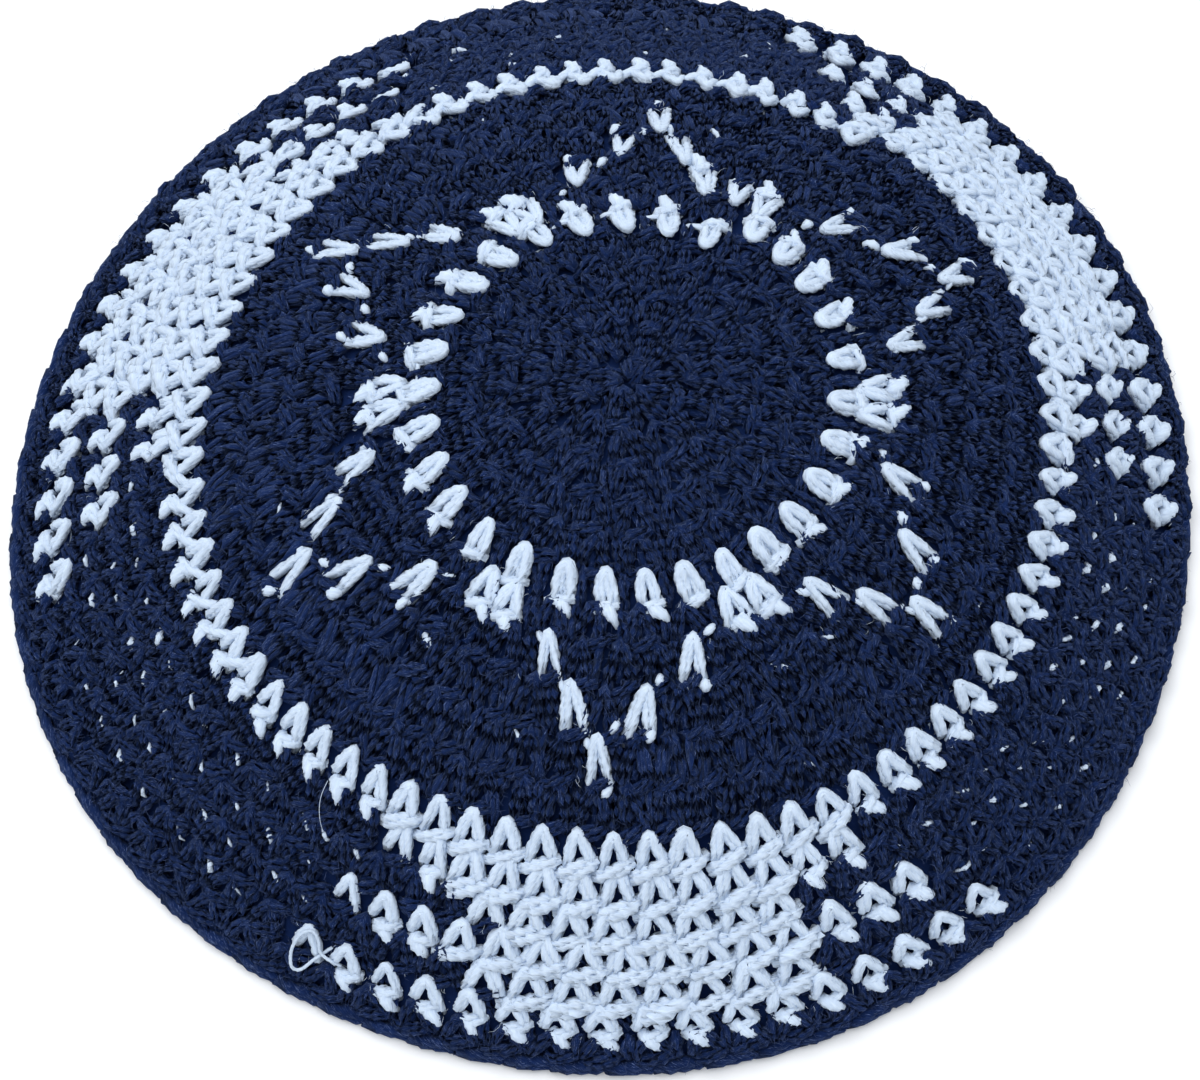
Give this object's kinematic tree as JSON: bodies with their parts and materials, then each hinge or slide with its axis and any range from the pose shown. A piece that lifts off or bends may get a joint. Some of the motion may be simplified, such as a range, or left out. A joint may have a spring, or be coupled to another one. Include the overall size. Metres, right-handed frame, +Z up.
{
  "type": "kippah skullcap",
  "caption": "Shallow round skullcap crocheted as one spiral in navy yarn, with a white six-pointed star, a white ring and white blocks above a rope-like edging.",
  "frame": {"origin": "on the surface that the cap rests on, under the middle of its box", "axes": "+Z up through the top of the cap; -Y is the side nearest the picture's camera"},
  "size_m": [0.1708, 0.17, 0.0395],
  "materials": {
    "navy_yarn": "matt twisted cotton yarn, navy",
    "white_yarn": "matt twisted cotton yarn, cool white"
  },
  "bodies": {
    "root": {"crown": "navy_yarn", "edging": "navy_yarn"}
  },
  "joints": []
}
